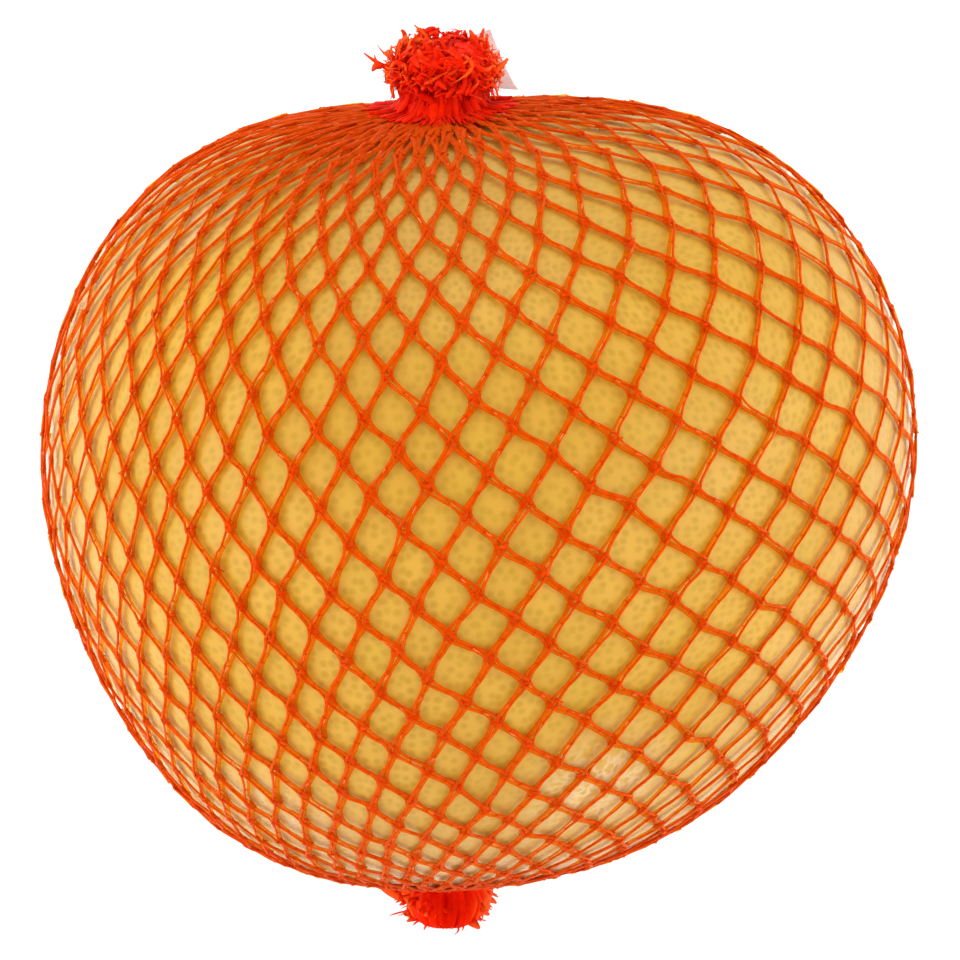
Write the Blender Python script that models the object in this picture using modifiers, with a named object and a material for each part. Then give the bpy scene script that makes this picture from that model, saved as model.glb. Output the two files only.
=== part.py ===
"""A wrapped pomelo in a knitted net sleeve, standing on the net's squashed lower tuft.

Metres, +Z up. The origin is the middle of the flat underside of the lower tuft, +X is to the
right of the fruit's fuller shoulder, and -Y is the side that faces the viewer.
"""

import math

import bmesh
import bpy
import numpy as np

MM = 0.001

# The fruit's outline seen from the front, measured to the crests of the net.
MEAN_RADIUS = 73.1 * MM
# How far the outline swells to the right, and upwards, once, twice and so on round it.
SWELL_RIGHT = (5.2 * MM, 3.3 * MM, 1.1 * MM, -1.2 * MM, -0.2 * MM, 0.4 * MM)
SWELL_UP = (1.0 * MM, 1.2 * MM, 2.7 * MM, 0.1 * MM, -0.1 * MM, 0.0)
HALF_DEPTH = 75.0 * MM
# The left half is this much deeper, front to back, than the right half.
DEPTH_LEAN = 0.05

# Layers, counted inwards from the crests of the net.
CORD = 1.2 * MM
CORD_CLEARANCE = 0.45 * MM
TIGHTEST_CURVE = 62.0 * MM
GAP = 0.3 * MM
FILM = 0.5 * MM
CORD_DEPTH = CORD / 2
FILM_INNER_DEPTH = CORD + CORD_CLEARANCE + FILM
FRUIT_DEPTH = FILM_INNER_DEPTH + GAP + 0.05 * MM

# The net: meshes round it, rows of knots from end to end, and where its gathers begin.
MESHES_ROUND = 24
KNOT_ROWS = 18
GATHER_ANGLE = math.radians(11)
ROW_CROWDING = (math.radians(11), math.radians(-3))
ROW_TILT_BACK = (math.radians(-7), math.radians(4))
ROW_TILT_LEFT = (math.radians(-14), math.radians(-2))
TWIST = (math.radians(28), math.radians(11.5))
SPREAD = (math.radians(-15), math.radians(-5))

# The two gathers, where the sleeve's meshes crowd together round its neck.
GATHER_INNER = 7.0 * MM
GATHER_OUTER = 16.5 * MM
GATHER_THICK = 1.7 * MM
PLEATS = 12
PLEAT_RISE = 0.3 * MM

# Height of the net's lower end above the floor, which the lower tuft fills.
FOOT_HEIGHT = 7.6 * MM

# Upper neck, tie and tuft, with heights counted from the net's upper end.
NECK_RADIUS = 5.6 * MM
TIE_INNER = 7.0 * MM
TIE_OUTER = 8.3 * MM
TOP_TIE_LOW = 1.6 * MM
TOP_TIE_HIGH = 4.4 * MM
TOP_HEAD_LOW = 4.9 * MM
TOP_HEAD_HIGH = 12.6 * MM
TOP_HEAD_RADIUS = 8.0 * MM
TOP_LEAN_RIGHT = 0.6 * MM
TOP_FIBRES = 84
TOP_FIBRE_REACH = 3.1 * MM

# Lower neck, tie and tuft, with heights counted from the floor.
FOOT_HEAD_HIGH = 4.0 * MM
FOOT_HEAD_RADIUS = 9.4 * MM
FOOT_TIE_LOW = 4.4 * MM
FOOT_TIE_HIGH = 6.1 * MM
FOOT_TIE_OUTER = 7.8 * MM
FOOT_FIBRES = 52
FOOT_FIBRE_REACH = 1.5 * MM

# The blank film strip that is caught between the upper tie and the neck.
STRIP_THICK = 0.6 * MM
STRIP_INNER = 6.05 * MM
STRIP_LEFT_ANGLE = math.radians(186)
STRIP_RIGHT_ANGLE = math.radians(8)
STRIP_LEFT_WIDTH = 2.6 * MM
STRIP_RIGHT_WIDTH = 10.6 * MM
STRIP_RISE = 2.4 * MM
STRIP_FLARE = 0.42

SEED = 11


def clear_scene():
    for old in list(bpy.data.objects):
        bpy.data.objects.remove(old, do_unlink=True)


def make_collection(name):
    group = bpy.data.collections.new(name)
    bpy.context.scene.collection.children.link(group)
    return group


def make_material(name, colour, roughness, metallic=0.0, alpha=1.0):
    made = bpy.data.materials.new(name)
    made.use_nodes = True
    shader = made.node_tree.nodes["Principled BSDF"]
    shader.inputs["Base Color"].default_value = (*colour, 1.0)
    shader.inputs["Roughness"].default_value = roughness
    shader.inputs["Metallic"].default_value = metallic
    shader.inputs["Alpha"].default_value = alpha
    return made


def outline_radius(turn):
    """Mean radius plus six harmonics of the angle, counted from +X towards +Z."""
    total = MEAN_RADIUS + 0.0 * turn
    for order, (right, up) in enumerate(zip(SWELL_RIGHT, SWELL_UP), start=1):
        total = total + right * np.cos(order * turn) + up * np.sin(order * turn)
    return total


def skin_points(directions, depth, centre):
    """Points a given depth under the net's crests, along unit directions from the centre.

    The front outline and the half depth are joined as the two radii of an ellipse.
    """
    x, y, z = directions.T
    across = np.hypot(x, z) / outline_radius(np.arctan2(z, x))
    away = y / (HALF_DEPTH * (1 - DEPTH_LEAN * x))
    reach = 1 / np.hypot(across, away) - depth
    return directions * reach[:, None] + centre


def end_height(sign):
    """Distance from the centre to the net's crests straight up (1) or straight down (-1)."""
    return float(outline_radius(np.array(sign * math.pi / 2)))


def sphere_directions(colatitude, longitude):
    """Unit vectors; longitude runs from the front, -Y, towards +X."""
    return np.stack(
        [
            np.sin(colatitude) * np.sin(longitude),
            -np.sin(colatitude) * np.cos(longitude),
            np.cos(colatitude),
        ],
        axis=-1,
    )


CENTRE = np.array([0.0, 0.0, FOOT_HEIGHT + end_height(-1)])
TOP_END = CENTRE[2] + end_height(1)


def new_object(name, shape, group, material, smooth=True):
    """An object from a bmesh, with its own mesh, in the given collection."""
    mesh = bpy.data.meshes.new(name)
    shape.to_mesh(mesh)
    shape.free()
    made = bpy.data.objects.new(name, mesh)
    group.objects.link(made)
    if material:
        mesh.materials.append(material)
    if smooth:
        mesh.shade_smooth()
        mesh.set_sharp_from_angle(angle=math.radians(40))
    return made


def apply_modifiers(target):
    """Replace the object's mesh by the one that its modifiers give."""
    graph = bpy.context.evaluated_depsgraph_get()
    graph.update()
    finished = bpy.data.meshes.new_from_object(target.evaluated_get(graph))
    target.modifiers.clear()
    target.data = finished


def wrapped_sphere(depth, segments=30, rings=20):
    """A UV sphere whose points are moved out to the skin at the given depth."""
    shape = bmesh.new()
    bmesh.ops.create_uvsphere(shape, u_segments=segments, v_segments=rings, radius=1.0)
    unit = np.array([point.co[:] for point in shape.verts])
    moved = skin_points(unit, depth, CENTRE)
    for point, place in zip(shape.verts, moved):
        point.co = place
    return shape


def make_fruit(group):
    rind = make_material("rind", (0.70, 0.39, 0.07), 0.45)
    return new_object("pomelo_fruit", wrapped_sphere(FRUIT_DEPTH), group, rind)


def make_film(group):
    """The film is an open skin, thickened outwards, with its mouth under the upper gather."""
    clear = make_material("film", (0.95, 0.93, 0.88), 0.12, alpha=0.2)
    shape = wrapped_sphere(FILM_INNER_DEPTH)
    highest = max(shape.verts, key=lambda point: point.co.z)
    bmesh.ops.delete(shape, geom=[highest], context="VERTS")
    film = new_object("film_wrap", shape, group, clear)
    wall = film.modifiers.new("wall", "SOLIDIFY")
    wall.thickness = FILM
    wall.offset = 1.0
    wall.use_even_offset = True
    return film


def knot_place(row, column):
    """Where a knot of the net lies: rows 0 to KNOT_ROWS from the top, columns in half meshes.

    The rows are evenly spaced in angle, then crowded towards the foot and tilted down to the
    left; the columns are evenly spaced round the fruit, then spread out at its right front.
    """
    along = 2 * row / KNOT_ROWS - 1
    turn = math.pi * column / MESHES_ROUND
    free = 1 - along**2
    crowd = ROW_CROWDING[0] + ROW_CROWDING[1] * along
    back = (ROW_TILT_BACK[0] + ROW_TILT_BACK[1] * along) * np.cos(turn)
    left = (ROW_TILT_LEFT[0] + ROW_TILT_LEFT[1] * along) * np.sin(turn)
    colatitude = math.pi / 2 + (math.pi / 2 - GATHER_ANGLE) * along + free * (crowd + back + left)
    spread = free * (SPREAD[0] * np.cos(turn) + SPREAD[1] * np.sin(turn))
    longitude = turn + TWIST[0] + TWIST[1] * along + spread
    return skin_points(sphere_directions(colatitude, longitude), CORD_DEPTH, CENTRE)


def make_mesh_lattice():
    """Diamond meshes between the knots, which the Wireframe modifier turns into cords.

    A cord is straight from knot to knot, so each knot stands out by the sag of its longest cord,
    and no cord cuts into the film.
    """
    rows, columns = np.meshgrid(
        np.arange(KNOT_ROWS + 1), np.arange(2 * MESHES_ROUND), indexing="ij"
    )
    real = (rows + columns) % 2 == 0
    places = knot_place(rows[real].astype(float), columns[real].astype(float))
    shape = bmesh.new()
    knots = {}
    for row, column, place in zip(rows[real], columns[real], places):
        knots[int(row), int(column)] = shape.verts.new(place)
    round_count = 2 * MESHES_ROUND
    for row in range(1, KNOT_ROWS):
        for column in range(row % 2 + 1, round_count + row % 2 + 1, 2):
            left = knots[row, (column - 1) % round_count]
            right = knots[row, (column + 1) % round_count]
            above = knots[row - 1, column % round_count]
            below = knots[row + 1, column % round_count]
            shape.faces.new((above, left, below, right))
    lifts = [
        max(cord.calc_length() for cord in knot.link_edges) ** 2 / (8 * TIGHTEST_CURVE)
        for knot in shape.verts
    ]
    for knot, lift in zip(shape.verts, lifts):
        outward = np.array(knot.co) - CENTRE
        knot.co = np.array(knot.co) + outward / np.linalg.norm(outward) * lift
    return shape


def gather_ring(sign):
    """The crowded end of the sleeve: a closed ring that follows the skin round the neck.

    Its section at each spoke is an outer row of points, raised on each pleat, and an inner row.
    """
    spokes = 4 * PLEATS
    turns = np.arange(spokes) * 2 * math.pi / spokes
    across = np.linspace(GATHER_INNER, GATHER_OUTER, 4)
    outer_row = [(distance, CORD_DEPTH - GATHER_THICK / 2, 1.0) for distance in across]
    inner_row = [(distance, CORD_DEPTH + GATHER_THICK / 2, 0.0) for distance in across[::-1]]
    shape = bmesh.new()
    loops = []
    for distance, depth, pleated in outer_row + inner_row:
        slope = math.asin(distance / end_height(sign))
        colatitude = np.full(spokes, slope if sign > 0 else math.pi - slope)
        fade = math.sin(math.pi * (distance - GATHER_INNER) / (GATHER_OUTER - GATHER_INNER))
        rise = pleated * PLEAT_RISE * fade * (1 + np.cos(PLEATS * turns))
        directions = sphere_directions(colatitude, turns)
        places = skin_points(directions, depth, CENTRE) + directions * rise[:, None]
        loops.append([shape.verts.new(place) for place in places])
    for loop, following in zip(loops, loops[1:] + loops[:1]):
        for spoke in range(spokes):
            after = (spoke + 1) % spokes
            corners = (loop[spoke], following[spoke], following[after], loop[after])
            shape.faces.new(corners if sign > 0 else corners[::-1])
    return shape


def join_solids(base, others, solver):
    """Boolean union of the base with the other objects, which are then removed."""
    helpers = bpy.data.collections.new("to_join")
    for other in others:
        helpers.objects.link(other)
    union = base.modifiers.new("join", "BOOLEAN")
    union.operation = "UNION"
    union.solver = solver
    union.operand_type = "COLLECTION"
    union.collection = helpers
    apply_modifiers(base)
    for other in others:
        bpy.data.objects.remove(other, do_unlink=True)
    bpy.data.collections.remove(helpers)


def make_net(group, cutters, cord_material):
    """The open meshes and both gathers, joined in one body."""
    net = new_object("net_sleeve", make_mesh_lattice(), group, cord_material)
    cords = net.modifiers.new("cords", "WIREFRAME")
    cords.thickness = CORD
    cords.use_even_offset = True
    cords.use_boundary = True
    apply_modifiers(net)
    gathers = [
        new_object("upper_gather", gather_ring(1), cutters, None),
        new_object("lower_gather", gather_ring(-1), cutters, None),
    ]
    join_solids(net, gathers, "MANIFOLD")
    return net


def turned(name, profile, group, material, steps=24):
    """A profile of (radius, height) points swept round the Z axis."""
    shape = bmesh.new()
    points = [shape.verts.new((radius, 0.0, height)) for radius, height in profile]
    closed = points + [points[0]] if profile[0][0] > 0 else points
    for first, second in zip(closed, closed[1:]):
        shape.edges.new((first, second))
    made = new_object(name, shape, group, material)
    sweep = made.modifiers.new("sweep", "SCREW")
    sweep.steps = steps
    sweep.render_steps = steps
    sweep.use_merge_vertices = True
    sweep.merge_threshold = 0.01 * MM
    sweep.use_normal_calculate = False
    apply_modifiers(made)
    return made


def band_profile(inner, outer, low, high):
    """The section of a round band with a crowned outer face, from its top inner corner."""
    crown = 0.25 * (outer - inner)
    middle = (low + high) / 2
    return [
        (inner, high),
        (outer - crown, high),
        (outer, middle),
        (outer - crown, low),
        (inner, low),
    ]


def fibre(root, direction, length, width, roll):
    """One tapered four-sided fibre bundle, its root sunk in the tuft."""
    shape = bmesh.new()
    bmesh.ops.create_cone(
        shape,
        cap_ends=True,
        segments=4,
        radius1=width,
        radius2=width * 0.35,
        depth=length,
    )
    axis = direction / np.linalg.norm(direction)
    side = np.cross(axis, (math.cos(roll), math.sin(roll), 0.37))
    side = side / np.linalg.norm(side)
    other = np.cross(axis, side)
    for point in shape.verts:
        x, y, z = point.co
        point.co = root + side * x + other * y * 0.6 + axis * (z + length / 2)
    return shape


def make_tuft(name, core_profile, fibres, group, cutters, material):
    """A turned core with its neck, and the fibre bundles that stand out of it."""
    tuft = turned(name, core_profile, group, material, steps=20)
    sprigs = []
    for number, (root, direction, length, width, roll) in enumerate(fibres):
        shape = fibre(root, direction, length, width, roll)
        sprigs.append(new_object(f"fibre_{number}", shape, cutters, None, smooth=False))
    join_solids(tuft, sprigs, "MANIFOLD")
    return tuft


def top_fibres(rng, middle):
    """Bundles spread evenly over the head, short at the back where the strip passes."""
    golden = math.pi * (3 - math.sqrt(5))
    found = []
    for number in range(TOP_FIBRES):
        height = -0.42 + 1.38 * (number + 0.5) / TOP_FIBRES
        turn = golden * number
        flat = math.sqrt(1 - height**2)
        direction = np.array([flat * math.cos(turn), flat * math.sin(turn), height])
        direction = direction + rng.normal(0, 0.16, 3)
        root = middle + 0.55 * TOP_HEAD_RADIUS * direction * (1, 1, 0.42)
        length = 0.45 * TOP_HEAD_RADIUS + TOP_FIBRE_REACH * rng.uniform(0.45, 1.15)
        if root[2] + direction[2] * length < middle[2] - 3.2 * MM:
            continue
        tip = root + direction * length
        behind = tip[1] > 0.5 * MM and abs(direction[2]) < 0.8
        if behind and math.hypot(tip[0], tip[1]) > strip_radius(tip[2]) - 1.3 * MM:
            continue
        width = rng.uniform(0.75, 1.25) * MM
        found.append((root, direction, length, width, rng.uniform(0, math.pi)))
    return found


def foot_fibres(rng):
    """Bundles pressed out sideways between the fruit and the floor."""
    found = []
    for number in range(FOOT_FIBRES):
        turn = 2 * math.pi * (number + rng.uniform(-0.3, 0.3)) / FOOT_FIBRES
        height = rng.uniform(0.75, FOOT_HEAD_HIGH / MM - 1.35) * MM
        outward = np.array([math.cos(turn), math.sin(turn), 0.0])
        root = outward * 0.72 * FOOT_HEAD_RADIUS + np.array([0, 0, height])
        direction = outward + np.array([0, 0, rng.uniform(-0.02, 0.06)])
        direction = direction + np.array([-outward[1], outward[0], 0]) * rng.normal(0, 0.25)
        length = 0.28 * FOOT_HEAD_RADIUS + FOOT_FIBRE_REACH * rng.uniform(0.4, 1.3)
        width = rng.uniform(0.65, 0.72) * MM
        found.append((root, direction, length, width, rng.uniform(0, math.pi)))
    return found


def strip_radius(height):
    """Distance of the strip's inner face from the neck's axis: upright, then leaning out."""
    above = np.maximum(height - (TOP_END + TOP_TIE_HIGH), 0.0)
    return STRIP_INNER + STRIP_THICK / 2 + STRIP_FLARE * above


def make_strip(group):
    """A blank curved strip round the back of the neck, narrow at its left end."""
    clear = make_material("strip", (0.92, 0.80, 0.76), 0.25, alpha=0.75)
    lengths = np.linspace(0, 1, 15)
    widths = np.linspace(0, 1, 4)
    shape = bmesh.new()
    grid = []
    for length in lengths:
        turn = STRIP_LEFT_ANGLE + (STRIP_RIGHT_ANGLE - STRIP_LEFT_ANGLE) * length
        low = TOP_END + TOP_TIE_LOW + STRIP_RISE * length**1.5
        width = STRIP_LEFT_WIDTH + (STRIP_RIGHT_WIDTH - STRIP_LEFT_WIDTH) * length**0.8
        line = []
        for share in widths:
            height = low + width * share
            radius = float(strip_radius(height))
            line.append(shape.verts.new((radius * math.cos(turn), radius * math.sin(turn), height)))
        grid.append(line)
    for near, far in zip(grid, grid[1:]):
        for share in range(len(widths) - 1):
            shape.faces.new((near[share], far[share], far[share + 1], near[share + 1]))
    strip = new_object("film_strip", shape, group, clear)
    wall = strip.modifiers.new("wall", "SOLIDIFY")
    wall.thickness = STRIP_THICK
    wall.offset = 0.0
    wall.use_even_offset = True
    return strip


def make_top(group, cutters, fibre_material, tie_material):
    rng = np.random.default_rng(SEED)
    middle = np.array([TOP_LEAN_RIGHT, -0.5 * MM, TOP_END + (TOP_HEAD_LOW + TOP_HEAD_HIGH) / 2])
    low = TOP_END + TOP_HEAD_LOW
    high = TOP_END + TOP_HEAD_HIGH
    core = [
        (0.0, high),
        (0.55 * TOP_HEAD_RADIUS, high - 0.6 * MM),
        (0.85 * TOP_HEAD_RADIUS, high - 2.4 * MM),
        (0.88 * TOP_HEAD_RADIUS, low + 2.2 * MM),
        (NECK_RADIUS, low),
        (NECK_RADIUS, TOP_END - CORD),
        (0.0, TOP_END - CORD),
    ]
    fibres = top_fibres(rng, middle)
    make_tuft("top_tuft", core, fibres, group, cutters, fibre_material)
    band = band_profile(TIE_INNER, TIE_OUTER, TOP_END + TOP_TIE_LOW, TOP_END + TOP_TIE_HIGH)
    turned("top_tie", band, group, tie_material)


def make_foot(group, cutters, fibre_material, tie_material):
    rng = np.random.default_rng(SEED + 1)
    core = [
        (0.0, FOOT_HEIGHT + CORD),
        (NECK_RADIUS, FOOT_HEIGHT + CORD),
        (NECK_RADIUS, FOOT_HEAD_HIGH),
        (0.86 * FOOT_HEAD_RADIUS, FOOT_HEAD_HIGH - 0.4 * MM),
        (FOOT_HEAD_RADIUS, FOOT_HEAD_HIGH / 2),
        (0.97 * FOOT_HEAD_RADIUS, 0.0),
        (0.0, 0.0),
    ]
    fibres = foot_fibres(rng)
    make_tuft("bottom_tuft", core, fibres, group, cutters, fibre_material)
    band = band_profile(NECK_RADIUS + GAP, FOOT_TIE_OUTER, FOOT_TIE_LOW, FOOT_TIE_HIGH)
    turned("bottom_tie", band, group, tie_material)


def main():
    clear_scene()
    group = make_collection("red_pomelo")
    cutters = make_collection("cutters")
    cutters.hide_render = True
    cord_material = make_material("net_cord", (0.76, 0.10, 0.01), 0.35)
    fibre_material = make_material("tuft_fibre", (0.78, 0.03, 0.005), 0.4)
    tie_material = make_material("tie_band", (0.62, 0.02, 0.005), 0.4)
    make_fruit(group)
    make_film(group)
    make_net(group, cutters, cord_material)
    make_foot(group, cutters, fibre_material, tie_material)
    make_top(group, cutters, fibre_material, tie_material)
    make_strip(group)
    bpy.data.collections.remove(cutters)


main()
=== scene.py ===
"""Looks of a netted pomelo: rind, clear shrink film, knitted net sleeve, frayed tufts and strip.

Metres, +Z up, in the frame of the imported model. +X is to the right of the fruit's fuller
shoulder, and -Y is the side that faces the viewer.
"""

import math

import bpy
import numpy as np
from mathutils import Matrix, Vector


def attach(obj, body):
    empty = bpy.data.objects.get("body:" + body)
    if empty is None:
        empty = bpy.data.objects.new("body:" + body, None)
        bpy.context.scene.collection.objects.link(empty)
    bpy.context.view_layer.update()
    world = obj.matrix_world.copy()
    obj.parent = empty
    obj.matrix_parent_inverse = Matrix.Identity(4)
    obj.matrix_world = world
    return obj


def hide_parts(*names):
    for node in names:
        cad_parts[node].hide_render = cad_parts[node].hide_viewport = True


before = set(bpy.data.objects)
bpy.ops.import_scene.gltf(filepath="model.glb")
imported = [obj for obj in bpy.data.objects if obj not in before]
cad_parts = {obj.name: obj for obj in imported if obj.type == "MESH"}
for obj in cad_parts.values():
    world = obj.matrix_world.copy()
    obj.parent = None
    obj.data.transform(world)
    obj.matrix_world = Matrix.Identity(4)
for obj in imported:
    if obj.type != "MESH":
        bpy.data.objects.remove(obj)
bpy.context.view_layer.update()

MM = 0.001

# The fruit's outline seen from the front, measured to the crests of the net.
MEAN_RADIUS = 73.1 * MM
SWELL_RIGHT = (5.2 * MM, 3.3 * MM, 1.1 * MM, -1.2 * MM, -0.2 * MM, 0.4 * MM)
SWELL_UP = (1.0 * MM, 1.2 * MM, 2.7 * MM, 0.1 * MM, -0.1 * MM, 0.0)
HALF_DEPTH = 75.0 * MM
DEPTH_LEAN = 0.05

# Layers, counted inwards from the crests of the net.
CORD_DEPTH = 0.15 * MM
FILM_DEPTH = 0.75 * MM
RIND_DEPTH = 1.1 * MM

# The net's lattice: meshes round it, rows of knots between its ends, and where its gathers begin.
MESHES_ROUND = 44
FIRST_ROW = -24
LAST_ROW = 30
MIDDLE_ROW = 5.0
HALF_ROWS = 17.0
GATHER_TOP = 6.5
GATHER_FOOT = 173.0
GATHER_SOFTNESS = 1.6

# How the rows lie, in degrees: spacing, then the tilt of each row towards the back and the left.
ROW_SPACING = (107.0, 68.6, -4.2, 8.8)
ROW_TILT_BACK = (-13.8, 7.7)
ROW_TILT_LEFT = (-14.0, -8.8)
ROW_WAVE = (3.4, 0.2)
# How the columns lie, in degrees: the twist, then how they spread out round the fruit.
TWIST = (15.7, 1.8, 0.9)
SPREAD_BACK = (5.2, 10.6)
SPREAD_LEFT = (-8.1, -6.8)
SPREAD_WAVE = (-7.0, 3.2)

# One strand of the net: two flat ribbons that part at the knots and meet at a stitch.
RIBBON_WIDTH = 0.72 * MM
RIBBON_THICK = 0.44 * MM
LEG_GAP_MIDDLE = 0.26 * MM
LEG_GAP_KNOT = 0.68 * MM
STRAND_BOW = -0.28
STATIONS = 9
FLAT_SECTION = ((-1.0, -0.4), (1.0, -0.4), (0.55, 0.9), (-0.55, 0.9))
BAR_SECTION = ((-1.0, 0.0), (0.0, -1.0), (1.0, 0.0), (0.0, 1.0))
LAYER_STEP = 0.12 * MM
# Near the gathers the strands pile up: how high, and over how many degrees.
PILE_HEIGHT = 0.5 * MM
PILE_REACH = 17.0

SEED = 7

# Camera: its tilt, how far it stands, and where the fruit's centre lies in the picture.
CAMERA_TILT = math.radians(14)
CAMERA_DISTANCE = 900 * MM
SENSOR = 36.0
PIXELS = 960
PIXEL_SIZE = 0.1747 * MM
AIM_RIGHT = 6.46 * MM
AIM_UP = 0.87 * MM
VIEW = (0.0, math.cos(CAMERA_TILT), -math.sin(CAMERA_TILT))
PICTURE_UP = (0.0, math.sin(CAMERA_TILT), math.cos(CAMERA_TILT))

# Stage: half the floor's side in metres, its colours and glow, and the white surround.
FLOOR_HALF = 6.0
FLOOR_GREYS = ((0.29, 0.29, 0.29), (0.31, 0.31, 0.31))
FLOOR_GLOW = 0.97
SURROUND = 0.88
# Each soft light: name, place and side in metres, and power.
LAMPS = [
    ("left_box", (-0.75, -0.35, 0.15), 0.6, 5.0),
    ("right_box", (0.75, -0.35, 0.15), 0.6, 3.7),
    ("top_box", (0.0, -0.1, 0.9), 0.7, 2.5),
]

# Rind: how finely it is divided, the distance between its oil glands, its colours, and last a painted
# sheen.
RIND_CELLS = 92
GLAND_SPACING = 1.85 * MM
RIND_GOLD = (0.59, 0.322, 0.026)
RIND_AMBER = (0.54, 0.285, 0.017)
RIND_GREENISH = (0.50, 0.315, 0.010)
GLAND_COLOUR = (0.445, 0.242, 0.003)
RIND_PAINTED_SHEEN = (0.80, 0.53, 0.20)

# Film: how finely it is divided, and its crumpled spots, as right and up of the centre in the
# picture, then size and strength; there its milky white is partly painted glare.
FILM_CELLS = 80
CREASE_SIZE = 2.1 * MM
MILK_AND_GLARE_COLOUR = (1.0, 0.93, 0.86, 1.0)
CRUMPLE_AND_GLARE_SPOTS = [
    ((26 * MM, -50 * MM), 11 * MM, 1.0),
    ((-41 * MM, 44 * MM), 9 * MM, 0.7),
    ((-27 * MM, -56 * MM), 12 * MM, 0.7),
]

# Cord: own colour, deeper red (partly painted shade), painted glint colour, light let straight through.
CORD_COLOUR = (0.79, 0.076, 0.0005)
CORD_DEEP = (0.52, 0.008, 0.0005)
CORD_PAINTED_GLINT = (1.0, 0.45, 0.22)
CORD_CLEAR = 0.5
CORD_THROUGH = (1.0, 0.8, 0.2, 1.0)
# The leg on the inner side of a strand is broader and clearer: by what shares.
INNER_WIDER = 0.3
INNER_CLEARER = 0.3
KNOT_BAR_LENGTH = (1.7 * MM, 2.8 * MM)
KNOT_CROSS_LENGTH = (1.0 * MM, 1.7 * MM)
KNOT_BAR_WIDTH = (0.45 * MM, 0.8 * MM)
# Width, thickness and bend of a stitch, and thickness and bend of a painted glint sliver.
STITCH_SIZES = (0.24 * MM, 0.16 * MM, 0.14 * MM)
GLINT_SIZES = (0.14 * MM, 0.1 * MM)
GLINT_SHARE = 0.75

# Tufts: how finely they are divided, their colours, and their forms; heights from the net's end.
FIBRE_STATIONS = 8
CORE_RINGS = 30
CORE_SPOKES = 120
# The deep tuft colour also paints shade, and the last colour paints the lit parts as painted light.
FIBRE_COLOUR = (0.88, 0.018, 0.001)
FIBRE_DEEP = (0.52, 0.0008, 0.0003)
FIBRE_PAINTED_LIGHT = (1.0, 0.13, 0.016)
BAND_COLOUR = (0.66, 0.002, 0.0005)
# Rings of the two cores: radius, then their middles to the right, back and up.
TOP_CORE = [
    (14.0 * MM, 0.0, 0.0, -2.4 * MM),
    (9.0 * MM, 0.1 * MM, 0.0, 0.3 * MM),
    (7.2 * MM, 0.2 * MM, 0.0, 2.2 * MM),
    (6.8 * MM, 0.3 * MM, 0.0, 4.4 * MM),
    (8.2 * MM, 0.3 * MM, 0.0, 5.4 * MM),
    (8.9 * MM, 0.4 * MM, 0.0, 7.2 * MM),
    (8.4 * MM, 0.6 * MM, 0.0, 9.2 * MM),
    (6.6 * MM, 0.9 * MM, 0.0, 10.8 * MM),
    (3.6 * MM, 1.2 * MM, 0.0, 11.8 * MM),
    (0.1 * MM, 1.3 * MM, 0.0, 12.1 * MM),
]
FOOT_CORE = [
    (0.1 * MM, 0.5 * MM, -7.5 * MM, 0.05 * MM),
    (4.8 * MM, 0.5 * MM, -7.5 * MM, 0.1 * MM),
    (6.3 * MM, 0.7 * MM, -6.0 * MM, 0.9 * MM),
    (7.3 * MM, 0.8 * MM, -4.0 * MM, 2.2 * MM),
    (7.9 * MM, 0.7 * MM, -1.8 * MM, 3.5 * MM),
    (7.0 * MM, 0.3 * MM, -0.4 * MM, 5.0 * MM),
    (7.4 * MM, 0.2 * MM, 0.0, 6.4 * MM),
    (10.5 * MM, 0.0, 0.0, 8.6 * MM),
]
TOP_MIDDLE = (0.3 * MM, -0.2 * MM, 7.3 * MM)
TOP_RADII = (8.1 * MM, 8.1 * MM, 4.0 * MM)
TOP_LOWEST = 2.2 * MM
TOP_HIGHEST = 13.2 * MM
# Each set: count, share outwards, scatter, lengths, widths, wave, roll, thickness, tip width.
TOP_FIBRE_SETS = [
    (420, 0.25, 0.15, (3.0 * MM, 6.6 * MM), (0.6 * MM, 1.5 * MM), 0.12, 0.35, 0.2 * MM, 0.6),
    (260, 0.8, 0.3, (1.4 * MM, 3.4 * MM), (0.4 * MM, 1.0 * MM), 0.16, 0.8, 0.16 * MM, 0.4),
    (200, 0.9, 0.3, (1.2 * MM, 3.2 * MM), (0.14 * MM, 0.3 * MM), 0.15, 1.0, 0.12 * MM, 0.3),
]
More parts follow.
